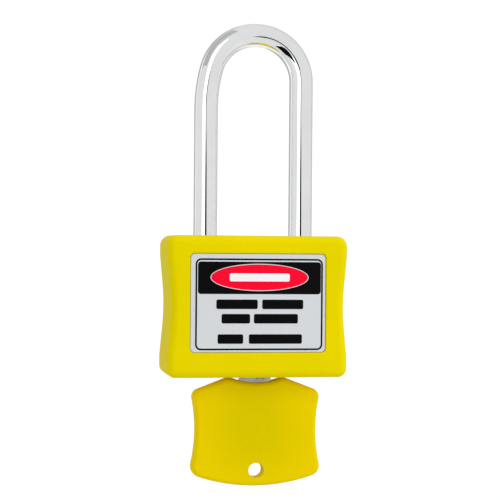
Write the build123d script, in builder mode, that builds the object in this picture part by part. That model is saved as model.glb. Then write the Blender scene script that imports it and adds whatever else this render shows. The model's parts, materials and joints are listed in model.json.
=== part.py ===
from build123d import *

import os
from math import cos, pi, radians, sin

# Safety padlock: a brass pin-tumbler lock in a moulded yellow jacket, with a long steel shackle
# and its key in the keyway. Millimetres, +Z up, -Y is the labelled front. The origin is the point
# inside the top of the shackle where the padlock hangs, so the whole lock lies below it.

# ---- driving dimensions ------------------------------------------------------------------------
rod = 6.35  # shackle rod diameter
clearance = 50.8  # from the inside of the bow to the top of the jacket
leg_x = 12.93  # half the distance between the two leg axes
bow_radius = 12.45  # axis of the bow's top arc
bow_shift = 0.5  # the bent bow's centre lies this far towards the long leg
shoulder_turn = 15  # degrees of the gentler arc where the bow runs into each leg
lift = 12.5  # travel of the shackle from shut to open

body_width = 48.25
body_height = 37.5
body_depth = 20.5
waist = 1.0  # how far each side of the jacket draws in
top_corner = 2.8  # corner radii of the front view
bottom_corner = 2.4
edge_round = 2.1  # rounding between the faces and the sides
wall = 2.5  # top and bottom walls of the jacket

core_width = 40.0
core_depth = 15.0
core_corner = 1.1  # corner radius of the core's front view
gap = 0.1  # clearance between the core and its jacket

label_width = 35.9
label_height = 25.8
label_thickness = 0.5
label_rise = 1.0  # label centre above the centre of the jacket
recess_depth = 0.8

plug_radius = 6.0
plug_length = 23.4
running = 0.04  # radial clearance of turning and sliding pieces
pin_radius = 1.35
pin_pitch = 3.2
first_pin = 4.0  # height of the lowest pin above the plug's face
cuts = [0.6, 1.0, 1.5, 1.9, 2.4]  # key cuts, shallow near the head and deep at the tip

ball_radius = 2.5
ball_bite = 0.8  # how far a shut ball enters the shackle's notch
ball_travel = 3.2
notch_play = 2.0  # free lift left in the notch when the lock is shut

blade_thickness = 2.2
blade_back = 5.0  # x of the key's plain edge
blade_front = -3.5  # x of the edge that the cuts are made in
head_x = 1.0  # centre of the key's head
head_thickness = 4.6
ring_hole = 2.0  # radius of the hole for a key ring

# ---- places worked out from them ---------------------------------------------------------------
rod_radius = rod / 2
body_top = -clearance
body_bottom = body_top - body_height
body_centre = (body_top + body_bottom) / 2
front = Plane.XZ.offset(body_depth / 2)
back = Plane.XZ.offset(-body_depth / 2)
label_plane = Plane.XZ.offset(body_depth / 2 - recess_depth)

core_top = body_top - wall
core_bottom = body_bottom + wall
core_height = core_top - core_bottom
bore_fit = 0.06  # radial clearance of the shackle in its bores
plug_face = core_bottom
plug_top = plug_face + plug_length
plug_bore = plug_radius + running

ball_z = core_top - 4.1
chamber_top = ball_z + ball_radius + 0.2  # roof of the bore that holds the plug and the cam
toe_end = core_top - 9.1
ring_stop = core_top - 13.0  # shoulder in the heel bore that stops the shackle's ring
stop_gap = 0.05  # left above the ring when the shackle is fully up
ring_top = ring_stop - lift - stop_gap
ring_thickness = 1.0
ring_radius = 4.2
heel_bore = ring_radius + 0.15
heel_end = ring_top - 3.4
ball_shut = leg_x - rod_radius + ball_bite - ball_radius  # ball centre from the plug's axis
ball_open = ball_shut - ball_travel

heel_plug_top = core_bottom + 2.0
spring_hole = 1.4  # radius of the hole in the heel that houses the shackle's spring
spring_hole_top = heel_end + 10.0

pin_heights = [plug_face + first_pin + pin_pitch * n for n in range(len(cuts))]
chamber_radius = pin_radius + running
chamber_mouth = -core_width / 2 + 1.9  # x where the pin springs meet the chamber cover
driver_face = -(plug_radius + 0.06)
driver_length = 4.2
cover_half_width = 2.4
cover_low = pin_heights[0] - 2.2
cover_high = pin_heights[-1] + 2.2

retainer_x = 5.85
retainer_z = plug_face + 21.4
retainer_radius = 1.0
groove_radius = 4.8

key_tip = pin_heights[-1] + 2.3
keyway_slack = 0.05
ward_width = 1.2
ward_depth = 0.55
front_ward = 1.6  # x of the ward on the front side of the keyway
back_ward = 0.1  # x of the ward on the other side

arm_heights = [body_centre - 8, body_centre + 8]
arm_half_height = 2.3
arm_inner = core_width / 2 - 1.4
arm_outer = core_width / 2 - 0.2
arm_tip = 3.0  # y of the free ends of the rear cover's arms
barb = 0.7
arm_slack = 0.25

os.makedirs("parts", exist_ok=True)


def write(piece, name):
    """Label a finished piece and write it to its own file."""
    piece.part.label = name
    export_step(piece.part, f"parts/{name}.step")


def coil_spring(radius, wire, turns, foot, length, direction):
    """A compression spring of round wire, whose two ends lie at foot and foot + length."""
    foot_point = Vector(*foot) + Vector(*direction) * wire
    with BuildPart() as spring:
        with BuildLine() as path:
            coil_height = length - 2 * wire
            Helix(coil_height / turns, coil_height, radius, center=foot_point, direction=direction)
        with BuildSketch(Plane(origin=path.line @ 0, z_dir=path.line % 0)):
            Circle(wire)
        sweep(is_frenet=True)
    return spring


def corners_at(outline, height):
    """The corners of a flat outline that lie at one height."""
    return outline.vertices().filter_by(lambda corner: abs(corner.Y - height) < 0.01)


def waisted_side(sign):
    """One side of the jacket's front view: two straight tapers joined by a long arc at the waist."""
    wide = sign * body_width / 2
    bend = sign * (body_width / 2 - 0.7 * waist)
    narrow = sign * (body_width / 2 - waist)
    Line((wide, body_top), (wide, taper_top))
    Line((wide, taper_top), (bend, arc_top))
    ThreePointArc((bend, arc_top), (narrow, body_centre), (bend, arc_bottom))
    Line((bend, arc_bottom), (wide, taper_bottom))
    Line((wide, taper_bottom), (wide, body_bottom))


# ---- moulded jacket: front, sides, top and bottom in one piece, open at the back ----------------
pocket_depth = body_depth / 2 + core_depth / 2 + gap
cover_thickness = body_depth / 2 - core_depth / 2
cover_fit = 0.06
taper_top, taper_bottom = body_centre + 13.4, body_centre - 13.4
arc_top, arc_bottom = body_centre + 6.0, body_centre - 6.0
taper_blend = 14.0  # radius that eases each taper into the straight side

with BuildPart() as jacket:
    with BuildSketch(Plane.XZ) as front_view:
        with BuildLine():
            Line((-body_width / 2, body_top), (body_width / 2, body_top))
            waisted_side(1)
            Line((body_width / 2, body_bottom), (-body_width / 2, body_bottom))
            waisted_side(-1)
        make_face()
        fillet(corners_at(front_view, taper_top) + corners_at(front_view, taper_bottom), taper_blend)
        fillet(corners_at(front_view, body_top), top_corner)
        fillet(corners_at(front_view, body_bottom), bottom_corner)
    extrude(amount=body_depth / 2, both=True)
    fillet(jacket.faces().filter_by(Axis.Y).edges(), edge_round)
    # room for the brass core, open to the back
    with BuildSketch(back):
        with Locations((0, body_centre)):
            RectangleRounded(core_width + 2 * gap, core_height + 2 * gap, core_corner + gap)
    extrude(amount=pocket_depth, mode=Mode.SUBTRACT)
    # shallow recess for the label
    with BuildSketch(front):
        with Locations((0, body_centre + label_rise)):
            RectangleRounded(label_width + 0.3, label_height + 0.3, 1.1)
    extrude(amount=-recess_depth, mode=Mode.SUBTRACT)
    fillet(jacket.faces().sort_by(Axis.Y)[0].inner_wires()[0].edges(), 0.25)
    # shackle holes in the top wall, and the window for the keyway in the bottom wall
    with Locations((-leg_x, 0, body_top), (leg_x, 0, body_top)):
        Hole(rod_radius + 0.2, depth=wall + 1)
    with Locations((0, 0, core_bottom)):
        Hole(plug_radius + 0.75, depth=wall + 1)
    mouths = jacket.edges().filter_by(GeomType.CIRCLE)
    fillet(mouths.filter_by(lambda e: abs(e.center().Z - body_top) < 0.01), 0.4)
    fillet(mouths.filter_by(lambda e: abs(e.center().Z - body_bottom) < 0.01), 0.5)
    # catches in the side walls for the rear cover's barbs
    for arm_z in arm_heights:
        with BuildSketch(Plane.XY.offset(arm_z)):
            with Locations((0, arm_tip + 0.8)):
                Rectangle(core_width + 2 * gap + 1.2, 1.9)
        extrude(amount=arm_half_height + arm_slack, both=True, mode=Mode.SUBTRACT)
write(jacket, "jacket")

# ---- rear cover: an inset plate with four barbed arms -------------------------------------------
with BuildPart() as rear_cover:
    with BuildSketch(back):
        with Locations((0, body_centre)):
            RectangleRounded(
                core_width + 2 * (gap - cover_fit),
                core_height + 2 * (gap - cover_fit),
                core_corner + gap - cover_fit,
            )
    extrude(amount=cover_thickness)
    fillet(rear_cover.faces().sort_by(Axis.Y)[-1].edges(), 0.3)
    for arm_z in arm_heights:
        with BuildSketch(Plane.XY.offset(arm_z)):
            for side in (1, -1):
                with BuildLine():
                    Polyline(
                        (side * arm_inner, core_depth / 2 + 0.1),
                        (side * arm_inner, arm_tip),
                        (side * (arm_outer - 0.3), arm_tip),
                        (side * (arm_outer + barb), arm_tip + 1.1),
                        (side * (arm_outer + barb), arm_tip + 1.5),
                        (side * arm_outer, arm_tip + 1.6),
                        (side * arm_outer, core_depth / 2 + 0.1),
                        close=True,
                    )
                make_face()
        extrude(amount=arm_half_height, both=True)
write(rear_cover, "rear_cover")

# ---- printed label, stuck in the recess ---------------------------------------------------------
with BuildPart() as label:
    with BuildSketch(label_plane):
        with Locations((0, body_centre + label_rise)):
            RectangleRounded(label_width, label_height, 0.9)
    extrude(amount=label_thickness)
write(label, "label")

# ---- brass core ---------------------------------------------------------------------------------
heel_hole_depth = core_top - ring_stop

with BuildPart() as lock_core:
    with BuildSketch(Plane.XZ):
        with Locations((0, body_centre)):
            RectangleRounded(core_width, core_height, core_corner)
    extrude(amount=core_depth / 2, both=True)
    chamfer(lock_core.faces().filter_by(Axis.Y).edges(), 0.4)
    # bore for the plug and its cam, from below
    with BuildSketch(Plane.XY.offset(core_bottom)):
        Circle(plug_bore)
    extrude(amount=chamber_top - core_bottom, mode=Mode.SUBTRACT)
    # blind bore for the short leg, through bore for the long leg
    with Locations((-leg_x, 0, core_top)):
        Hole(rod_radius + bore_fit, depth=core_top - toe_end + 0.6)
    with Locations((leg_x, 0, core_top)):
        Hole(rod_radius + bore_fit, depth=heel_hole_depth + 1)
    with BuildSketch(Plane.XY.offset(core_bottom)):
        with Locations((leg_x, 0)):
            Circle(heel_bore)
    extrude(amount=ring_stop - core_bottom, mode=Mode.SUBTRACT)
    # cross channel for the balls, drilled from the long leg's side
    with BuildSketch(Plane.YZ.offset(-leg_x)):
        with Locations((0, ball_z)):
            Circle(ball_radius + running)
    extrude(amount=leg_x + core_width / 2, mode=Mode.SUBTRACT)
    # pin chambers, and the slot for the cover that closes them
    with BuildSketch(Plane.YZ.offset(-core_width / 2)):
        with Locations(*[(0, z) for z in pin_heights]):
            Circle(chamber_radius)
    extrude(amount=core_width / 2 - plug_radius + 1.0, mode=Mode.SUBTRACT)
    with BuildSketch(Plane.YZ.offset(-core_width / 2)):
        with Locations((0, (cover_low + cover_high) / 2)):
            Rectangle(2 * cover_half_width, cover_high - cover_low)
    extrude(amount=chamber_mouth + core_width / 2, mode=Mode.SUBTRACT)
    # cross hole for the pin that holds the plug
    with BuildSketch(Plane.XZ.offset(-core_depth / 2)):
        with Locations((retainer_x, retainer_z)):
            Circle(retainer_radius)
    extrude(amount=core_depth - 2.0, mode=Mode.SUBTRACT)
    # grooves for the rear cover's arms
    for arm_z in arm_heights:
        with BuildSketch(Plane.XY.offset(arm_z)):
            for side in (1, -1):
                with Locations((side * core_width / 2, core_depth / 2)):
                    Rectangle(
                        2 * (core_width / 2 - arm_inner + arm_slack),
                        2 * (core_depth / 2 - arm_tip + arm_slack),
                    )
        extrude(amount=arm_half_height + arm_slack, both=True, mode=Mode.SUBTRACT)
write(lock_core, "lock_core")

# ---- small pieces pressed into the core ---------------------------------------------------------
with BuildPart() as ball_channel_plug:
    with BuildSketch(Plane.YZ.offset(core_width / 2 - 3.4)):
        with Locations((0, ball_z)):
            Circle(ball_radius + running)
    extrude(amount=3.3)
    chamfer(ball_channel_plug.faces().filter_by(Axis.X).edges(), 0.3)
write(ball_channel_plug, "ball_channel_plug")

with BuildPart() as heel_bore_plug:
    with BuildSketch(Plane.XY.offset(core_bottom)):
        with Locations((leg_x, 0)):
            Circle(heel_bore)
    extrude(amount=heel_plug_top - core_bottom)
    chamfer(heel_bore_plug.faces().filter_by(Axis.Z).edges(), 0.25)
write(heel_bore_plug, "heel_bore_plug")

with BuildPart() as chamber_cover:
    with BuildSketch(Plane.YZ.offset(-core_width / 2)):
        with Locations((0, (cover_low + cover_high) / 2)):
            Rectangle(2 * cover_half_width, cover_high - cover_low)
    extrude(amount=chamber_mouth + core_width / 2)
write(chamber_cover, "chamber_cover")

with BuildPart() as cylinder_retainer:
    with BuildSketch(Plane.XZ.offset(-core_depth / 2 + 0.1)):
        with Locations((retainer_x, retainer_z)):
            Circle(retainer_radius)
    extrude(amount=core_depth - 2.1)
    chamfer(cylinder_retainer.faces().filter_by(Axis.Y).edges(), 0.2)
write(cylinder_retainer, "cylinder_retainer")

# ---- plug, with the keyway, its pin holes and the groove that limits its turn --------------------
pin_half_angle = 38  # degrees that the retainer covers on the plug's circle, each way
turn = 90

keyway_centre = (blade_front + blade_back) / 2
keyway_width = blade_back - blade_front + 2 * keyway_slack
keyway_gap = blade_thickness + 2 * keyway_slack
tang_length = 8.0
tang_width = 2.4
tang_depth = 1.4

with BuildPart() as cylinder_plug:
    with BuildSketch(Plane.XY.offset(plug_face)):
        Circle(plug_radius)
    extrude(amount=plug_length)
    chamfer(cylinder_plug.faces().filter_by(Axis.Z).edges(), 0.25)
    # warded keyway
    with BuildSketch(Plane.XY.offset(plug_face)):
        with Locations((keyway_centre, 0)):
            Rectangle(keyway_width, keyway_gap)
        with Locations((front_ward, -keyway_gap / 2)):
            Rectangle(ward_width - 2 * keyway_slack, 2 * ward_depth, mode=Mode.SUBTRACT)
        with Locations((back_ward, keyway_gap / 2)):
            Rectangle(ward_width - 2 * keyway_slack, 2 * ward_depth, mode=Mode.SUBTRACT)
    extrude(amount=key_tip + keyway_slack - plug_face, mode=Mode.SUBTRACT)
    # holes for the key pins
    with BuildSketch(Plane.YZ.offset(-plug_radius - 1)):
        with Locations(*[(0, z) for z in pin_heights]):
            Circle(chamber_radius)
    extrude(amount=plug_radius + 1.0, mode=Mode.SUBTRACT)
    # part-turn groove for the retainer
    with BuildSketch(Plane.XY.offset(retainer_z)):
        with BuildLine():
            first = radians(-turn - pin_half_angle)
            last = radians(pin_half_angle)
            middle = (first + last) / 2
            outside = plug_radius + 1
            ThreePointArc(
                (outside * cos(first), outside * sin(first)),
                (outside * cos(middle), outside * sin(middle)),
                (outside * cos(last), outside * sin(last)),
            )
            ThreePointArc(
                (groove_radius * cos(first), groove_radius * sin(first)),
                (groove_radius * cos(middle), groove_radius * sin(middle)),
                (groove_radius * cos(last), groove_radius * sin(last)),
            )
            for angle in (first, last):
                Line(
                    (groove_radius * cos(angle), groove_radius * sin(angle)),
                    (outside * cos(angle), outside * sin(angle)),
                )
        make_face()
    extrude(amount=retainer_radius + running, both=True, mode=Mode.SUBTRACT)
    # slot in the top for the cam's tang
    with BuildSketch(Plane.XY.offset(plug_top)):
        Rectangle(tang_length, tang_width)
    extrude(amount=-tang_depth, mode=Mode.SUBTRACT)
write(cylinder_plug, "cylinder_plug")

# ---- cam on top of the plug: two lobes hold the balls out, two pockets let them in ---------------
lobe = ball_shut - ball_radius - 0.22
pocket = ball_open - ball_radius - 0.85
cam_foot = plug_top + 1.8
cam_top = chamber_top - 0.1
spiral_steps = 6

with BuildPart() as actuator:
    with BuildSketch(Plane.XY.offset(plug_top)):
        Circle(plug_radius - 0.05)
    extrude(amount=cam_foot - plug_top)
    with BuildSketch(Plane.XY.offset(plug_top)):
        Rectangle(tang_length - 2 * running, tang_width - 2 * running)
    extrude(amount=-tang_depth + 0.1)
    with BuildSketch(Plane.XY.offset(cam_foot)):
        Circle(lobe)
        for half_turn in (0, 180):
            # the lobe's radius falls evenly with the angle, down to the pocket a quarter turn on
            spiral = []
            for step in range(spiral_steps + 1):
                angle = radians(half_turn - turn * step / spiral_steps)
                radius = lobe + (pocket - lobe) * step / spiral_steps
                spiral.append((radius * cos(angle), radius * sin(angle)))
            with BuildLine():
                Spline(*spiral)
                far = radians(half_turn - turn)
                beyond = radians(half_turn - turn / 2)
                Polyline(
                    spiral[-1],
                    (2 * lobe * cos(far), 2 * lobe * sin(far)),
                    (3 * lobe * cos(beyond), 3 * lobe * sin(beyond)),
                    (2 * lobe * cos(far + pi / 2), 2 * lobe * sin(far + pi / 2)),
                    spiral[0],
                )
            make_face(mode=Mode.SUBTRACT)
            with Locations((ball_open * cos(far), ball_open * sin(far))):
                Circle(ball_radius + 0.3, mode=Mode.SUBTRACT)
    extrude(amount=cam_top - cam_foot)
write(actuator, "actuator")

# ---- pins and their springs ----------------------------------------------------------------------
spring_wire = 0.16
for number, (height, cut) in enumerate(zip(pin_heights, cuts), start=1):
    tip_x = blade_front + cut
    with BuildPart() as key_pin:
        with BuildSketch(Plane.YZ.offset(-plug_radius - 1)):
            with Locations((0, height)):
                Circle(pin_radius)
        extrude(amount=tip_x + plug_radius + 1)
        chamfer(key_pin.faces().sort_by(Axis.X)[-1].edges(), 0.6)
        # the outer end follows the plug, so that the pin clears its bore as the plug turns
        with BuildSketch(Plane.XY.offset(height)):
            Circle(plug_radius - 0.02)
        extrude(amount=pin_radius, both=True, mode=Mode.INTERSECT)
    write(key_pin, f"key_pin_{number}")

    with BuildPart() as driver_pin:
        with BuildSketch(Plane.YZ.offset(driver_face - driver_length)):
            with Locations((0, height)):
                Circle(pin_radius)
        extrude(amount=driver_length)
        chamfer(driver_pin.faces().filter_by(Axis.X).edges(), 0.15)
    write(driver_pin, f"driver_pin_{number}")

    pin_spring = coil_spring(
        radius=pin_radius - spring_wire - 0.1,
        wire=spring_wire,
        turns=7,
        foot=(chamber_mouth, 0, height),
        length=driver_face - driver_length - chamber_mouth,
        direction=(1, 0, 0),
    )
    write(pin_spring, f"pin_spring_{number}")

# ---- shackle: toe on the left, heel on the right -------------------------------------------------
bow_centre = rod_radius - bow_radius
turn_sine = sin(radians(shoulder_turn))
turn_cosine = cos(radians(shoulder_turn))


def shoulder(reach):
    """Radius and centre height of the arc that joins the bow to a leg at this distance from its centre."""
    radius = (reach - bow_radius * turn_cosine) / (1 - turn_cosine)
    return radius, bow_centre + (bow_radius - radius) * turn_sine


heel_arc, heel_straight = shoulder(leg_x - bow_shift)
toe_arc, toe_straight = shoulder(leg_x + bow_shift)

with BuildPart() as shackle:
    with BuildLine(Plane.XZ) as shackle_axis:
        Line((leg_x, heel_end), (leg_x, heel_straight))
        CenterArc((leg_x - heel_arc, heel_straight), heel_arc, 0, shoulder_turn)
        CenterArc((bow_shift, bow_centre), bow_radius, shoulder_turn, 180 - 2 * shoulder_turn)
        CenterArc((toe_arc - leg_x, toe_straight), toe_arc, 180 - shoulder_turn, shoulder_turn)
        Line((-leg_x, toe_straight), (-leg_x, toe_end))
    with BuildSketch(Plane.XY.offset(heel_end)):
        with Locations((leg_x, 0)):
            Circle(rod_radius)
    sweep(path=shackle_axis.wires()[0])
    chamfer(shackle.faces().filter_by(Axis.Z).edges(), 0.6)
    # notches for the balls: as wide as a ball, and longer by the play
    for side in (1, -1):
        with BuildSketch(Plane.XY.offset(ball_z)):
            with Locations((side * ball_shut, 0)):
                Circle(ball_radius + running)
        extrude(amount=-notch_play, mode=Mode.SUBTRACT)
        with Locations((side * ball_shut, 0, ball_z), (side * ball_shut, 0, ball_z - notch_play)):
            Sphere(ball_radius + running, mode=Mode.SUBTRACT)
    # groove for the ring, and the hole for the spring
    with BuildSketch(Plane.XY.offset(ring_top)):
        with Locations((leg_x, 0)):
            Circle(rod_radius + 1)
            Circle(2.3, mode=Mode.SUBTRACT)
    extrude(amount=-ring_thickness, mode=Mode.SUBTRACT)
    with BuildSketch(Plane.XY.offset(heel_end)):
        with Locations((leg_x, 0)):
            Circle(spring_hole)
    extrude(amount=spring_hole_top - heel_end, mode=Mode.SUBTRACT)
write(shackle, "shackle")

with BuildPart() as shackle_retaining_ring:
    with BuildSketch(Plane.XY.offset(ring_top)):
        with Locations((leg_x, 0)):
            Circle(ring_radius)
            Circle(2.3, mode=Mode.SUBTRACT)
        with Locations((leg_x, 3.5)):
            Rectangle(3.6, 7.0, mode=Mode.SUBTRACT)
    extrude(amount=-ring_thickness)
write(shackle_retaining_ring, "shackle_retaining_ring")

shackle_spring = coil_spring(
    radius=spring_hole - 0.37,
    wire=0.22,
    turns=14,
    foot=(leg_x, 0, heel_plug_top),
    length=spring_hole_top - heel_plug_top,
    direction=(0, 0, 1),
)
write(shackle_spring, "shackle_spring")

# ---- locking balls -------------------------------------------------------------------------------
with BuildPart() as locking_ball_toe:
    with Locations((-ball_shut, 0, ball_z)):
        Sphere(ball_radius)
write(locking_ball_toe, "locking_ball_toe")

with BuildPart() as locking_ball_heel:
    with Locations((ball_shut, 0, ball_z)):
        Sphere(ball_radius)
write(locking_ball_heel, "locking_ball_heel")

# ---- key -----------------------------------------------------------------------------------------
head_peak = body_bottom - 0.4  # the two peaks of the head, before they are rounded
peak_x = 7.3
notch_depth = 1.43  # of the hollow between the peaks
shoulder_x = 17.6
shoulder_z = head_peak - 3.9
side_waist_x = 16.35
side_waist_z = head_peak - 14.1
foot_x = 18.0  # lower corners of the head
foot_z = head_peak - 25.7
head_bottom = head_peak - 29.15
peak_round, shoulder_round, foot_round = 4.0, 2.3, 2.9
head_edge = 1.2  # rounding all round the head's faces
hole_z = head_peak - 24.95
bow_top = body_bottom - 4.0
bow_bottom = body_bottom - 21.0
bow_half_width = 9.0
bow_corner = 4.0
land = 0.8  # half the flat at the bottom of each cut

with BuildPart() as key_blade:
    with BuildSketch(Plane.XZ):
        with BuildLine():
            bitting = [(blade_front, bow_top - 1), (blade_front, pin_heights[0] - 1.6)]
            for height, cut in zip(pin_heights, cuts):
                bitting.append((blade_front + cut, height - land))
                bitting.append((blade_front + cut, height + land))
            Polyline(
                *bitting,
                (1.6, key_tip),
                (blade_back - 1.4, key_tip),
                (blade_back, key_tip - 1.4),
                (blade_back, bow_top - 1),
                close=True,
            )
        make_face()
        with Locations((head_x, (bow_top + bow_bottom) / 2)):
            RectangleRounded(2 * bow_half_width, bow_top - bow_bottom, bow_corner)
    extrude(amount=blade_thickness / 2, both=True)
    # milled grooves that pass the wards
    for groove_x, groove_y in ((front_ward, -blade_thickness / 2), (back_ward, blade_thickness / 2)):
        with BuildSketch(Plane.XY.offset(body_bottom - 1.2)):
            with Locations((groove_x, groove_y)):
                Rectangle(ward_width, 2 * ward_depth + keyway_slack)
        extrude(amount=key_tip - body_bottom + 2, mode=Mode.SUBTRACT)
write(key_blade, "key_blade")


def head_half(sign):
    """Half of the key head's outline: the slope down from a peak, then the waisted side."""
    shoulder = (head_x + sign * shoulder_x, shoulder_z)
    Line((head_x + sign * peak_x, head_peak), shoulder)
    ThreePointArc(
        shoulder,
        (head_x + sign * side_waist_x, side_waist_z),
        (head_x + sign * foot_x, foot_z),
    )


with BuildPart() as key_cover:
    with BuildSketch(Plane.XZ) as head_outline:
        with BuildLine():
            ThreePointArc(
                (head_x - peak_x, head_peak),
                (head_x, head_peak - notch_depth),
                (head_x + peak_x, head_peak),
            )
            head_half(1)
            ThreePointArc(
                (head_x + foot_x, foot_z),
                (head_x, head_bottom),
                (head_x - foot_x, foot_z),
            )
            head_half(-1)
        make_face()
        fillet(corners_at(head_outline, foot_z), foot_round)
        fillet(corners_at(head_outline, shoulder_z), shoulder_round)
        fillet(corners_at(head_outline, head_peak), peak_round)
    extrude(amount=head_thickness / 2, both=True)
    fillet(key_cover.faces().filter_by(Axis.Y).edges(), head_edge)
    with BuildSketch(Plane.XZ):
        with Locations((head_x, hole_z)):
            Circle(ring_hole)
    extrude(amount=head_thickness, both=True, mode=Mode.SUBTRACT)
    rims = key_cover.faces().filter_by(Axis.Y).edges().filter_by(GeomType.CIRCLE)
    fillet(rims.filter_by(lambda e: abs(e.radius - ring_hole) < 0.01), 0.3)
    # the metal bow is moulded in
    with BuildSketch(Plane.XZ):
        with Locations((head_x, (bow_top + bow_bottom) / 2)):
            RectangleRounded(2 * bow_half_width, bow_top - bow_bottom, bow_corner)
    extrude(amount=blade_thickness / 2, both=True, mode=Mode.SUBTRACT)
    with BuildSketch(Plane.XY.offset(bow_top - 2)):
        with Locations(((blade_front + blade_back) / 2, 0)):
            Rectangle(blade_back - blade_front, blade_thickness)
    extrude(amount=head_peak - bow_top + 3, mode=Mode.SUBTRACT)
write(key_cover, "key_cover")
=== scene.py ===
import json
from math import cos, pi, radians, sin

import bmesh
import bpy
from bpy.props import FloatProperty, FloatVectorProperty, PointerProperty
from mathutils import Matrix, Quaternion, Vector


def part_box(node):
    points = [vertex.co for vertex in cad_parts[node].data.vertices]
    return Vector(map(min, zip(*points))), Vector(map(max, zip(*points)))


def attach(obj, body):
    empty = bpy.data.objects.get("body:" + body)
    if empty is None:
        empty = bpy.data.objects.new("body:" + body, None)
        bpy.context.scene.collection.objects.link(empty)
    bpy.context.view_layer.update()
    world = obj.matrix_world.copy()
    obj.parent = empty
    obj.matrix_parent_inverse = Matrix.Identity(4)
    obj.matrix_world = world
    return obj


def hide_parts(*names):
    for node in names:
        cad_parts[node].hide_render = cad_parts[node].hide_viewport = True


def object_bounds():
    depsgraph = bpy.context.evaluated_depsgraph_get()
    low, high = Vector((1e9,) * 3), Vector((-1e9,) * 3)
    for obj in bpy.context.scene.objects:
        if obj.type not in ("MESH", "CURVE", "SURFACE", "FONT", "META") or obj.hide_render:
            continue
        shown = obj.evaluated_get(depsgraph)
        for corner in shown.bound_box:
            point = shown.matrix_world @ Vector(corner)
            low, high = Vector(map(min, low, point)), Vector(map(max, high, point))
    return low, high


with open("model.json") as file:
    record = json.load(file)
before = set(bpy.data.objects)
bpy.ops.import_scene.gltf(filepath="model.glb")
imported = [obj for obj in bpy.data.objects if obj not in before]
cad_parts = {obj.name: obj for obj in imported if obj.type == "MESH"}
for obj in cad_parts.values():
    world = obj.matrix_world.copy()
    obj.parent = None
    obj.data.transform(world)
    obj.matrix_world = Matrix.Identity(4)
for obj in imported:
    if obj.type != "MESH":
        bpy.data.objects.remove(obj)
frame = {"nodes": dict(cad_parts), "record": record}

bl_info = {
    "name": "Safety padlock looks",
    "version": (1, 0, 0),
    "blender": (4, 5, 0),
    "location": "3D Viewport > Sidebar > Padlock",
    "description": "Dresses the packed padlock: moulded jacket, chromed shackle, printed plate and key",
    "category": "Object",
}

# The whole lock's box straight after loading, and the places that the looks are built from.
CAD_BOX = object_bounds()
MM = 0.001
UP = Vector((0, 0, 1))
JACKET_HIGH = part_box("jacket")[1]
LABEL_LOW, LABEL_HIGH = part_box("label")
SHACKLE_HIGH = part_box("shackle")[1]
HEAD_LOW, HEAD_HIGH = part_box("key_cover")


# ---- sizes and colours that a user would change ---------------------------------------------------
def length(name, default, description):
    """A length property, in metres, with its default given in millimetres."""
    return FloatProperty(
        name=name,
        description=description,
        default=default * MM,
        min=0,
        precision=5,
        subtype="DISTANCE",
        unit="LENGTH",
    )


def colour(name, default, description):
    """A linear colour property."""
    return FloatVectorProperty(
        name=name, description=description, default=default, size=3, min=0, max=1, subtype="COLOR"
    )


class PadlockPlastic(bpy.types.PropertyGroup):
    jacket_colour: colour("Jacket colour", (0.83, 0.675, 0.0), "Main yellow of the moulded jacket")
    jacket_shade: colour("Jacket shade", (0.79, 0.655, 0.0), "Slightly greener yellow it drifts towards")
    head_colour: colour("Key head colour", (0.85, 0.635, 0.0), "Main yellow of the key's head")
    # Painted shade: the olive middle of the key's head is painted darker than its edges.
    head_painted_shade: colour("Key head shade", (0.715, 0.58, 0.0), "Olive yellow in the middle of the key's head")
    grain: length("Grain", 0.35, "Spacing of the fine grain that the mould leaves")
    roughness: FloatProperty(
        name="Roughness", description="Mean roughness of the plastic", default=0.5, min=0, max=1
    )


class PadlockMetal(bpy.types.PropertyGroup):
    chrome_colour: colour("Chrome", (0.92, 0.925, 0.93), "Reflection colour of the polished shackle")
    chrome_edge: colour("Chrome edge", (0.70, 0.705, 0.71), "Its reflection colour at a grazing angle")
    brass_colour: colour("Brass", (0.80, 0.58, 0.27), "Reflection colour of the turned brass")
    steel_colour: colour("Steel", (0.58, 0.585, 0.60), "Reflection colour of the hardened steel")
    nickel_colour: colour("Nickel", (0.80, 0.78, 0.74), "Reflection colour of the key blade's plating")


class PadlockLabel(bpy.types.PropertyGroup):
    film_colour: colour("Film", (0.66, 0.685, 0.71), "White of the printed film")
    black_ink: colour("Black ink", (0.002, 0.002, 0.0022), "Black of the print")
    white_ink: colour("White ink", (0.93, 0.90, 0.90), "White of the blank bar in the ellipse")
    red_ink: colour("Red ink", (0.97, 0.002, 0.028), "Red of the blank ellipse")
    frame_width: length("Frame width", 34.0, "Outer width of the black frame line")
    frame_height: length("Frame height", 24.1, "Outer height of the black frame line")
    frame_line: length("Frame line", 0.46, "Thickness of the frame line")
    ink_step: length("Ink step", 0.02, "How far each layer of ink stands above the one below")
    header_width: length("Header width", 32.8, "Width of the black header at the top of the frame")
    header_height: length("Header height", 8.5, "Height of the header")
    ellipse_width: length("Ellipse width", 25.8, "Width of the red ellipse in the header")
    ellipse_height: length("Ellipse height", 6.8, "Height of the red ellipse")
    ellipse_rim: length("Ellipse rim", 0.2, "Width of the pale rim round the ellipse")
    bar_height: length("Bar height", 2.5, "Height of the blank bars that stand for the rows of print")


class PadlockStage(bpy.types.PropertyGroup):
    azimuth: FloatProperty(
        name="Azimuth", description="Camera's turn round the lock", default=radians(-9.5), subtype="ANGLE"
    )
    distance: length("Distance", 430, "Camera's distance from the lock's mid-plane")
    roll: FloatProperty(
        name="Roll", description="Camera's lean to its left", default=radians(0.45), subtype="ANGLE"
    )
    eye_level: length("Eye level", 3.8, "How far below the jacket's top the camera looks")
    aside: length("Aside", 0.7, "How far to the left of the lock's axis the camera looks")
    daylight: FloatProperty(
        name="Daylight", description="Strength of the even white surroundings", default=0.80, min=0
    )
    lens: FloatProperty(name="Lens", description="Focal length", default=115, min=1, unit="CAMERA")
    floor_drop: length("Floor drop", 420, "Gap from the key's lowest point to the floor")


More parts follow.
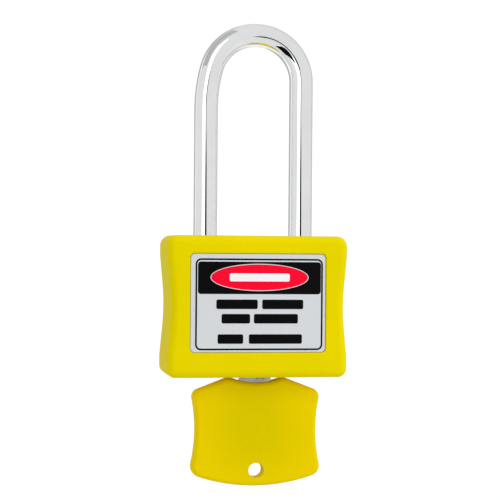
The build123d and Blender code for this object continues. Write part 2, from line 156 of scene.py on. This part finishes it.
# ---- node materials --------------------------------------------------------------------------------
class Shader:
    """A node material in the making: one Principled BSDF and what feeds it."""

    def __init__(self, name):
        self.material = bpy.data.materials.new(name)
        self.material.use_nodes = True
        self.nodes = self.material.node_tree.nodes
        self.links = self.material.node_tree.links
        self.surface = self.nodes["Principled BSDF"]
        self.place = self.nodes.new("ShaderNodeTexCoord").outputs["Object"]

    def node(self, kind, **settings):
        made = self.nodes.new(kind)
        for key, value in settings.items():
            setattr(made, key, value)
        return made

    def join(self, source, target):
        self.links.new(source, target)

    def noise(self, spacing, detail=3.0, roughness=0.5, stretch=(1, 1, 1)):
        """Noise whose lumps are about spacing metres apart, stretched along the axes."""
        mapping = self.node("ShaderNodeMapping")
        mapping.inputs["Scale"].default_value = stretch
        self.join(self.place, mapping.inputs["Vector"])
        made = self.node("ShaderNodeTexNoise")
        made.inputs["Scale"].default_value = 1 / spacing
        made.inputs["Detail"].default_value = detail
        made.inputs["Roughness"].default_value = roughness
        self.join(mapping.outputs["Vector"], made.inputs["Vector"])
        return made.outputs["Fac"]

    def span(self, source, low, high, out_low, out_high):
        """source's stretch from low to high, spread over out_low to out_high."""
        made = self.node("ShaderNodeMapRange")
        sockets = ("From Min", "From Max", "To Min", "To Max")
        for socket, value in zip(sockets, (low, high, out_low, out_high)):
            made.inputs[socket].default_value = value
        self.join(source, made.inputs["Value"])
        return made.outputs["Result"]

    def blend(self, amount, first, second):
        """A colour that goes from first to second as amount goes from 0 to 1."""
        made = self.node("ShaderNodeMix", data_type="RGBA")
        # Inputs 6 and 7 are the mix node's A and B for colours, and output 2 is its colour.
        for socket, value in ((made.inputs[6], first), (made.inputs[7], second)):
            if isinstance(value, bpy.types.NodeSocket):
                self.join(value, socket)
            else:
                socket.default_value = (*value, 1)
        self.join(amount, made.inputs[0])
        return made.outputs[2]

    def bump(self, height, distance, strength=1.0, under=None):
        """Raises the surface's normal by height, on top of an earlier bump."""
        made = self.node("ShaderNodeBump")
        made.inputs["Distance"].default_value = distance
        made.inputs["Strength"].default_value = strength
        self.join(height, made.inputs["Height"])
        if under is not None:
            self.join(under, made.inputs["Normal"])
        return made.outputs["Normal"]

    def finish(self, colour=None, roughness=None, normal=None, **plain):
        for socket, value in (("Base Color", colour), ("Roughness", roughness), ("Normal", normal)):
            if value is not None:
                self.join(value, self.surface.inputs[socket])
        for socket, value in plain.items():
            self.surface.inputs[socket.replace("_", " ")].default_value = value
        return self.material


def moulded_plastic(name, main, shade, grain, roughness, painted_shade_hub=None):
    """Satin injection-moulded plastic: fine grain, slow drift of colour, uneven shine.

    The colour drifts from main to the second colour in soft clouds. With a hub, given as its place, inner and
    outer radius, the middle is painted shade in the second colour and main lies farther out, and wander
    shifts the edge between them.
    """
    shader = Shader(name)
    drift = shader.noise(20 * MM, detail=2)
    speckle = shader.noise(grain * 4, detail=4)
    if painted_shade_hub is None:
        tint = shader.blend(shader.span(drift, 0.35, 0.65, 0, 1), main, shade)
    else:
        # Painted shade: the second colour darkens the middle, fading to main between the inner and outer
        # radius.
        place, inner, outer = painted_shade_hub
        wander = 6 * MM
        offset = shader.node("ShaderNodeVectorMath", operation="DISTANCE")
        offset.inputs[1].default_value = place
        shader.join(shader.place, offset.inputs[0])
        reach = shader.node("ShaderNodeMath", operation="MULTIPLY_ADD")
        reach.inputs[1].default_value = wander
        shader.join(drift, reach.inputs[0])
        shader.join(offset.outputs["Value"], reach.inputs[2])
        beyond_painted_shade = shader.span(reach.outputs[0], inner + wander / 2, outer + wander / 2, 0, 1)
        tint = shader.blend(beyond_painted_shade, shade, main)
    darker = [channel * 0.94 for channel in main]
    tint = shader.blend(shader.span(speckle, 0.45, 0.75, 0, 0.35), tint, darker)
    fine = shader.noise(grain, detail=5, roughness=0.6)
    flow = shader.noise(grain * 12, detail=2)
    normal = shader.bump(flow, 0.03 * MM, 0.5)
    normal = shader.bump(fine, 0.012 * MM, 0.8, under=normal)
    shine = shader.span(speckle, 0.2, 0.8, roughness - 0.06, roughness + 0.06)
    gloss_tint = (1, 0.86, 0.12, 1)  # keeps the pale surroundings' reflection from washing out the yellow
    return shader.finish(
        tint, shine, normal, IOR=1.5, Specular_IOR_Level=0.05, Specular_Tint=gloss_tint
    )


def polished_chrome(name, tone, edge):
    """Bright plate over polished steel, with faint drawing marks and finger haze."""
    shader = Shader(name)
    haze = shader.noise(6 * MM, detail=3)
    drawn = shader.noise(0.5 * MM, detail=4, stretch=(1, 1, 0.04))
    tint = shader.blend(shader.span(haze, 0.3, 0.7, 0, 1), tone, [channel * 0.95 for channel in tone])
    shine = shader.span(haze, 0.3, 0.7, 0.03, 0.07)
    normal = shader.bump(drawn, 0.001 * MM, 0.2)
    return shader.finish(tint, shine, normal, Metallic=1.0, Specular_Tint=(*edge, 1))


def turned_metal(name, tone, tool_mark, roughness, direction="Z"):
    """Machined metal with the rings that the tool leaves, tool_mark metres apart."""
    shader = Shader(name)
    patch = shader.noise(3 * MM, detail=4)
    marks = shader.node("ShaderNodeTexWave", wave_type="BANDS", bands_direction=direction)
    marks.inputs["Scale"].default_value = 1 / (tool_mark * 20)
    marks.inputs["Distortion"].default_value = 0.6
    marks.inputs["Detail"].default_value = 2
    shader.join(shader.place, marks.inputs["Vector"])
    dull = [channel * 0.72 for channel in tone]
    tint = shader.blend(shader.span(patch, 0.35, 0.8, 0, 0.8), tone, dull)
    shine = shader.span(patch, 0.3, 0.7, roughness - 0.07, roughness + 0.08)
    normal = shader.bump(marks.outputs["Fac"], 0.004 * MM, 0.6)
    return shader.finish(tint, shine, normal, Metallic=1.0)


def printed_ink(name, tone, roughness):
    """Screen-printed ink: slightly uneven cover and shine."""
    shader = Shader(name)
    cover = shader.noise(0.5 * MM, detail=4)
    worn = [min(1, channel * 1.08 + 0.001) for channel in tone]
    tint = shader.blend(shader.span(cover, 0.45, 0.8, 0, 0.6), tone, worn)
    shine = shader.span(cover, 0.3, 0.7, roughness - 0.04, roughness + 0.04)
    normal = shader.bump(cover, 0.001 * MM, 0.3)
    return shader.finish(tint, shine, normal, IOR=1.48, Specular_IOR_Level=0.07)


def dress(nodes, material):
    """Gives a material to CAD nodes, without touching their meshes."""
    for name in nodes:
        piece = frame["nodes"][name]
        if not piece.material_slots:
            piece.data.materials.append(material)
        for slot in piece.material_slots:
            slot.link = "OBJECT"
            slot.material = material


# ---- mesh building ---------------------------------------------------------------------------------
def new_object(name, mesh_data, material):
    """Makes an object from a bmesh, which is used up."""
    mesh = bpy.data.meshes.new(name)
    bmesh.ops.recalc_face_normals(mesh_data, faces=mesh_data.faces)
    mesh_data.to_mesh(mesh)
    mesh_data.free()
    mesh.materials.append(material)
    made = bpy.data.objects.new(name, mesh)
    bpy.context.scene.collection.objects.link(made)
    return made


def new_piece(name, mesh_data, material, body, sharp=30):
    """Makes a piece from a bmesh, smooth but for edges sharper than the angle, riding on a body."""
    piece = new_object(name, mesh_data, material)
    for polygon in piece.data.polygons:
        polygon.use_smooth = True
    piece.data.set_sharp_from_angle(angle=radians(sharp))
    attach(piece, body)
    return piece


def rounded_rectangle(width, height, radius, steps=8):
    """Corner points of a rounded rectangle about (0, 0), going anticlockwise."""
    points = []
    for turn, (side, level) in enumerate(((1, 1), (-1, 1), (-1, -1), (1, -1))):
        for step in range(steps + 1):
            angle = pi / 2 * (turn + step / steps)
            points.append((side * (width / 2 - radius) + radius * cos(angle),
                           level * (height / 2 - radius) + radius * sin(angle)))
    return points


def ellipse(width, height, steps=96):
    """Points of an ellipse about (0, 0), going anticlockwise."""
    return [(width / 2 * cos(2 * pi * n / steps), height / 2 * sin(2 * pi * n / steps)) for n in range(steps)]


def add_plate(mesh_data, outline, centre, front, thickness, inside=None):
    """Adds a flat plate facing -Y, whose outline is about centre (x, z); inside is a hole's outline."""
    def loop(points, depth):
        return [mesh_data.verts.new((centre[0] + x, depth, centre[1] + z)) for x, z in points]

    def wall(first, second):
        for n in range(len(first)):
            after = (n + 1) % len(first)
            mesh_data.faces.new((first[n], first[after], second[after], second[n]))

    near, far = loop(outline, front), loop(outline, front + thickness)
    wall(near, far)
    if inside is None:
        mesh_data.faces.new(near)
        mesh_data.faces.new(far)
    else:
        near_hole, far_hole = loop(inside, front), loop(inside, front + thickness)
        wall(near_hole, far_hole)
        wall(near, near_hole)
        wall(far, far_hole)


# ---- the pieces ------------------------------------------------------------------------------------
class PADLOCK_OT_jacket(bpy.types.Operator):
    """Gives the jacket and the rear cover their moulded yellow plastic"""

    bl_idname = "padlock.jacket"
    bl_label = "Jacket"

    def execute(self, context):
        plastic = context.scene.padlock_plastic
        material = moulded_plastic(
            "jacket_plastic", plastic.jacket_colour, plastic.jacket_shade, plastic.grain, plastic.roughness
        )
        dress(["jacket", "rear_cover"], material)
        return {"FINISHED"}


class PADLOCK_OT_label(bpy.types.Operator):
    """Builds the plate in the recess and its print: a frame, a header with a blank ellipse, and bars"""

    bl_idname = "padlock.label"
    bl_label = "Label"

    def execute(self, context):
        label = context.scene.padlock_label
        middle = (LABEL_LOW + LABEL_HIGH) / 2
        size = LABEL_HIGH - LABEL_LOW
        film = printed_ink("label_film", label.film_colour, 0.30)
        black = printed_ink("label_black", label.black_ink, 0.28)
        red = printed_ink("label_red", label.red_ink, 0.28)
        white = printed_ink("label_white", label.white_ink, 0.28)

        plate = bmesh.new()
        outline = rounded_rectangle(size.x, size.z, 0.9 * MM)
        add_plate(plate, outline, (middle.x, middle.z), LABEL_LOW.y, size.y)
        rim = [
            edge for edge in plate.edges if all(abs(v.co.y - LABEL_LOW.y) < 1e-6 for v in edge.verts)
        ]
        bmesh.ops.bevel(plate, geom=rim, offset=0.12 * MM, segments=3, affect="EDGES")
        plate_piece = new_piece("label_plate", plate, film, "lock_body")
        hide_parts("label")

        def ink(name, material, layer, shapes):
            """Prints shapes, each (outline, centre x, centre z, hole outline), one layer of ink up."""
            sheet = bmesh.new()
            for outline, x, z, hole in shapes:
                front = LABEL_LOW.y - layer * label.ink_step
                add_plate(sheet, outline, (middle.x + x, middle.z + z), front, layer * label.ink_step, hole)
            new_piece(name, sheet, material, "lock_body")

        line, corner = label.frame_line, 1.5 * MM
        width, height = label.frame_width, label.frame_height
        frame_hole = rounded_rectangle(width - 2 * line, height - 2 * line, corner - line)
        frame_ring = (rounded_rectangle(width, height, corner), 0.25 * MM, -0.35 * MM, frame_hole)
        ink("label_frame_line", black, 1, [frame_ring])

        # The header and what stands on it; the ellipse sits a little above the header's middle.
        x, header_z, ellipse_z = 0.3 * MM, 6.6 * MM, 6.75 * MM
        header = rounded_rectangle(label.header_width, label.header_height, 0.8 * MM)
        rim_width = label.ellipse_width + 2 * label.ellipse_rim
        rim_height = label.ellipse_height + 2 * label.ellipse_rim
        red_oval = ellipse(label.ellipse_width, label.ellipse_height)
        blank_bar = rounded_rectangle(16 * MM, 2.1 * MM, 0.5 * MM)
        ink("label_header", black, 1, [(header, x, header_z, None)])
        ink("label_ellipse_rim", film, 2, [(ellipse(rim_width, rim_height), x, ellipse_z, None)])
        ink("label_ellipse", red, 3, [(red_oval, x, ellipse_z, None)])
        ink("label_header_bar", white, 4, [(blank_bar, x, ellipse_z, None)])

        # Each row: its height, then the middle and width of each bar in it, all in millimetres.
        bars = []
        for level, stretches in (
            (-0.33, ((-5.7, 11.0), (6.5, 11.0))),
            (-4.12, ((-6.0, 7.6), (4.7, 11.8))),
            (-9.46, ((-7.4, 6.8), (4.6, 14.2))),
        ):
            for middle_x, bar_width in stretches:
                bar = rounded_rectangle(bar_width * MM, label.bar_height, 0.45 * MM)
                bars.append((bar, middle_x * MM, level * MM, None))
        ink("label_bars", black, 1, bars)
        return {"FINISHED"}


class PADLOCK_OT_shackle(bpy.types.Operator):
    """Plates the shackle in polished chrome"""

    bl_idname = "padlock.shackle"
    bl_label = "Shackle"

    def execute(self, context):
        metal = context.scene.padlock_metal
        dress(["shackle"], polished_chrome("shackle_chrome", metal.chrome_colour, metal.chrome_edge))
        return {"FINISHED"}


class PADLOCK_OT_key(bpy.types.Operator):
    """Gives the key its plastic head and its nickel-plated blade"""

    bl_idname = "padlock.key"
    bl_label = "Key"

    def execute(self, context):
        plastic = context.scene.padlock_plastic
        metal = context.scene.padlock_metal
        head = frame["nodes"]["key_cover"]
        head_middle = head.matrix_world.inverted() @ ((HEAD_LOW + HEAD_HIGH) / 2)
        # Painted shade: the head's middle, within 6 to 16 mm of its centre, is painted in the darker olive
        # colour.
        painted_shade_hub = (head_middle, 6 * MM, 16 * MM)
        main, shade = plastic.head_colour, plastic.head_painted_shade
        material = moulded_plastic("key_head_plastic_painted_shade", main, shade, plastic.grain, plastic.roughness, painted_shade_hub)
        dress(["key_cover"], material)
        dress(["key_blade"], turned_metal("key_nickel", metal.nickel_colour, 0.15 * MM, 0.22))
        return {"FINISHED"}


class PADLOCK_OT_works(bpy.types.Operator):
    """Gives the brass and steel pieces inside the lock their machined finishes"""

    bl_idname = "padlock.works"
    bl_label = "Works"

    def execute(self, context):
        metal = context.scene.padlock_metal
        by_slot = {}
        for part in frame["record"]["subparts"]:
            by_slot.setdefault(part["material_slot"], []).append(part["node"])
        dress(by_slot["brass"], turned_metal("turned_brass", metal.brass_colour, 0.2 * MM, 0.27))
        dress(by_slot["steel"], turned_metal("hardened_steel", metal.steel_colour, 0.2 * MM, 0.24))
        return {"FINISHED"}


class PADLOCK_OT_stage(bpy.types.Operator):
    """Makes the pale sweep, the soft lights and the camera"""

    bl_idname = "padlock.stage"
    bl_label = "Stage"

    def execute(self, context):
        stage = context.scene.padlock_stage
        floor = CAD_BOX[0].z - stage.floor_drop
        self.sweep(floor)
        aim = Vector((0, 0, JACKET_HIGH.z - stage.eye_level))
        # back points from the lock to the camera, and right is the camera's right.
        back = Vector((sin(stage.azimuth), -cos(stage.azimuth), 0))
        right = Vector((cos(stage.azimuth), sin(stage.azimuth), 0))
        self.camera(context, stage, aim, back, right)
        self.lights(stage, aim, back, right)
        self.flags(back, right)
        context.scene.view_settings.view_transform = "Standard"
        return {"FINISHED"}

    def sweep(self, floor):
        """A seamless floor that curves up into a backdrop, and glows more towards the back."""
        paper = Shader("sweep_paper")
        fibre = paper.noise(3 * MM, detail=4)
        tint = paper.blend(paper.span(fibre, 0.3, 0.7, 0, 1), (0.20, 0.20, 0.20), (0.18, 0.18, 0.185))
        bent = paper.bump(fibre, 0.02 * MM, 0.2)
        depth = paper.node("ShaderNodeSeparateXYZ")
        paper.join(paper.place, depth.inputs[0])
        glow = paper.span(depth.outputs["Y"], 0.10, 0.35, 0.60, 0.88)
        paper.join(glow, paper.surface.inputs["Emission Strength"])
        material = paper.finish(tint, None, bent, Roughness=0.9, Emission_Color=(1, 1, 1, 1))
        front, bend_start, bend, height, half_width, steps = -2.0, 0.9, 0.5, 2.2, 2.5, 16
        outline = [(front, floor)]
        for step in range(steps + 1):
            angle = pi / 2 * step / steps
            outline.append((bend_start + bend * sin(angle), floor + bend * (1 - cos(angle))))
        outline.append((bend_start + bend, floor + height))
        mesh_data = bmesh.new()
        rows = [[mesh_data.verts.new((x, y, z)) for y, z in outline] for x in (-half_width, half_width)]
        for n in range(len(outline) - 1):
            mesh_data.faces.new((rows[0][n], rows[1][n], rows[1][n + 1], rows[0][n + 1]))
        mesh = bpy.data.meshes.new("sweep")
        mesh_data.to_mesh(mesh)
        mesh_data.free()
        mesh.materials.append(material)
        for polygon in mesh.polygons:
            polygon.use_smooth = True
        sweep = bpy.data.objects.new("sweep", mesh)
        bpy.context.scene.collection.objects.link(sweep)

    def camera(self, context, stage, aim, back, right):
        """The camera, at the height of the jacket's upper edge and leaning slightly."""
        data = bpy.data.cameras.new("camera")
        data.lens = stage.lens
        data.sensor_width = 36
        data.clip_start = 0.01
        camera = bpy.data.objects.new("camera", data)
        camera.location = aim + back * stage.distance - right * stage.aside
        camera.rotation_mode = "QUATERNION"
        camera.rotation_quaternion = (-back).to_track_quat("-Z", "Y") @ Quaternion((0, 0, 1), stage.roll)
        context.scene.collection.objects.link(camera)
        context.scene.camera = camera

    def lights(self, stage, aim, back, right):
        """Even white surroundings and three soft lights, of which the chrome mirrors only the strip."""
        world = bpy.data.worlds.new("studio")
        world.use_nodes = True
        world.node_tree.nodes["Background"].inputs["Color"].default_value = (1, 1, 1, 1)
        world.node_tree.nodes["Background"].inputs["Strength"].default_value = stage.daylight
        bpy.context.scene.world = world
        for name, place, width, tall, power in (
            ("strip_light", back * 0.66 - right * 0.225, 0.31, 1.3, 1.6),
            ("side_light", back * 0.5 + right * 0.9 + UP * 0.3, 0.7, 0.9, 3.4),
            ("top_light", back * 0.1 + UP * 1.0, 0.8, 0.5, 1.3),
        ):
            data = bpy.data.lights.new(name, "AREA")
            data.shape = "RECTANGLE"
            data.size, data.size_y = width, tall
            data.energy = power
            light = bpy.data.objects.new(name, data)
            light.location = aim + place
            light.visible_glossy = name == "strip_light"
            light.rotation_mode = "QUATERNION"
            light.rotation_quaternion = (-place).to_track_quat("-Z", "Y")
            bpy.context.scene.collection.objects.link(light)

    def flags(self, back, right):
        """Cards that the chrome mirrors and the camera doesn't see: dark in front, grey beside and behind.

        Each has its place from the top of the bow, its width and height, its lean in degrees, and its tone.
        """
        bow = Vector((0, 0, SHACKLE_HIGH.z))
        for name, place, width, tall, lean, tone in (
            ("camera_flag", back * 0.425, 0.04, 0.12, 0, 0.06),
            ("low_left_flag", back * 0.38 - right * 0.14 - UP * 0.26, 0.18, 0.38, -30, 0.003),
            ("low_right_flag", back * 0.40 + right * 0.08 - UP * 0.085, 0.06, 0.19, 38, 0.003),
            ("shoulder_flag", back * 0.12 - right * 0.42 + UP * 0.5, 0.7, 0.7, 0, 0.45),
            ("left_flag", -back * 0.45 - right * 0.32, 0.5, 1.2, 0, 0.5),
            ("right_flag", -back * 0.45 + right * 0.36, 0.5, 1.2, 0, 0.7),
        ):
            cloth = Shader(name)
            weave = cloth.noise(2 * MM, detail=3)
            tint = cloth.blend(weave, [tone] * 3, [tone * 1.3] * 3)
            bent = cloth.bump(weave, 0.1 * MM)
            material = cloth.finish(tint, None, bent, Roughness=0.95, Specular_IOR_Level=0.0)
            mesh_data = bmesh.new()
            add_plate(mesh_data, rounded_rectangle(width, tall, 5 * MM), (0, 0), 0, 2 * MM)
            flag = new_object(name, mesh_data, material)
            flag.location = bow + place
            flag.rotation_mode = "QUATERNION"
            flag.rotation_quaternion = place.to_track_quat("Y", "Z") @ Quaternion((0, 1, 0), radians(lean))
            flag.visible_camera = False


class PADLOCK_PT_panel(bpy.types.Panel):
    """Lists the padlock's pieces and their sizes and colours"""

    bl_idname = "PADLOCK_PT_panel"
    bl_label = "Padlock"
    bl_space_type = "VIEW_3D"
    bl_region_type = "UI"
    bl_category = "Padlock"

    def draw(self, context):
        for operator, group in PANEL_ROWS:
            box = self.layout.box()
            box.operator(operator.bl_idname)
            if group:
                settings = getattr(context.scene, group)
                for name in settings.__annotations__:
                    box.prop(settings, name)


PANEL_ROWS = (
    (PADLOCK_OT_jacket, "padlock_plastic"),
    (PADLOCK_OT_label, "padlock_label"),
    (PADLOCK_OT_shackle, "padlock_metal"),
    (PADLOCK_OT_key, None),
    (PADLOCK_OT_works, None),
    (PADLOCK_OT_stage, "padlock_stage"),
)
SETTINGS = {
    "padlock_plastic": PadlockPlastic,
    "padlock_metal": PadlockMetal,
    "padlock_label": PadlockLabel,
    "padlock_stage": PadlockStage,
}
CLASSES = (*SETTINGS.values(), *(operator for operator, _ in PANEL_ROWS), PADLOCK_PT_panel)


def register():
    """Registers the classes and hangs their settings on the scene."""
    for made in CLASSES:
        bpy.utils.register_class(made)
    for name, group in SETTINGS.items():
        setattr(bpy.types.Scene, name, PointerProperty(type=group))


def unregister():
    """Undoes register."""
    for name in SETTINGS:
        delattr(bpy.types.Scene, name)
    for made in reversed(CLASSES):
        bpy.utils.unregister_class(made)


def main():
    """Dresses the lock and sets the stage."""
    register()
    bpy.ops.padlock.works()
    bpy.ops.padlock.jacket()
    bpy.ops.padlock.label()
    bpy.ops.padlock.shackle()
    bpy.ops.padlock.key()
    bpy.ops.padlock.stage()
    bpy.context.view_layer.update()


if __name__ == "__main__":
    main()
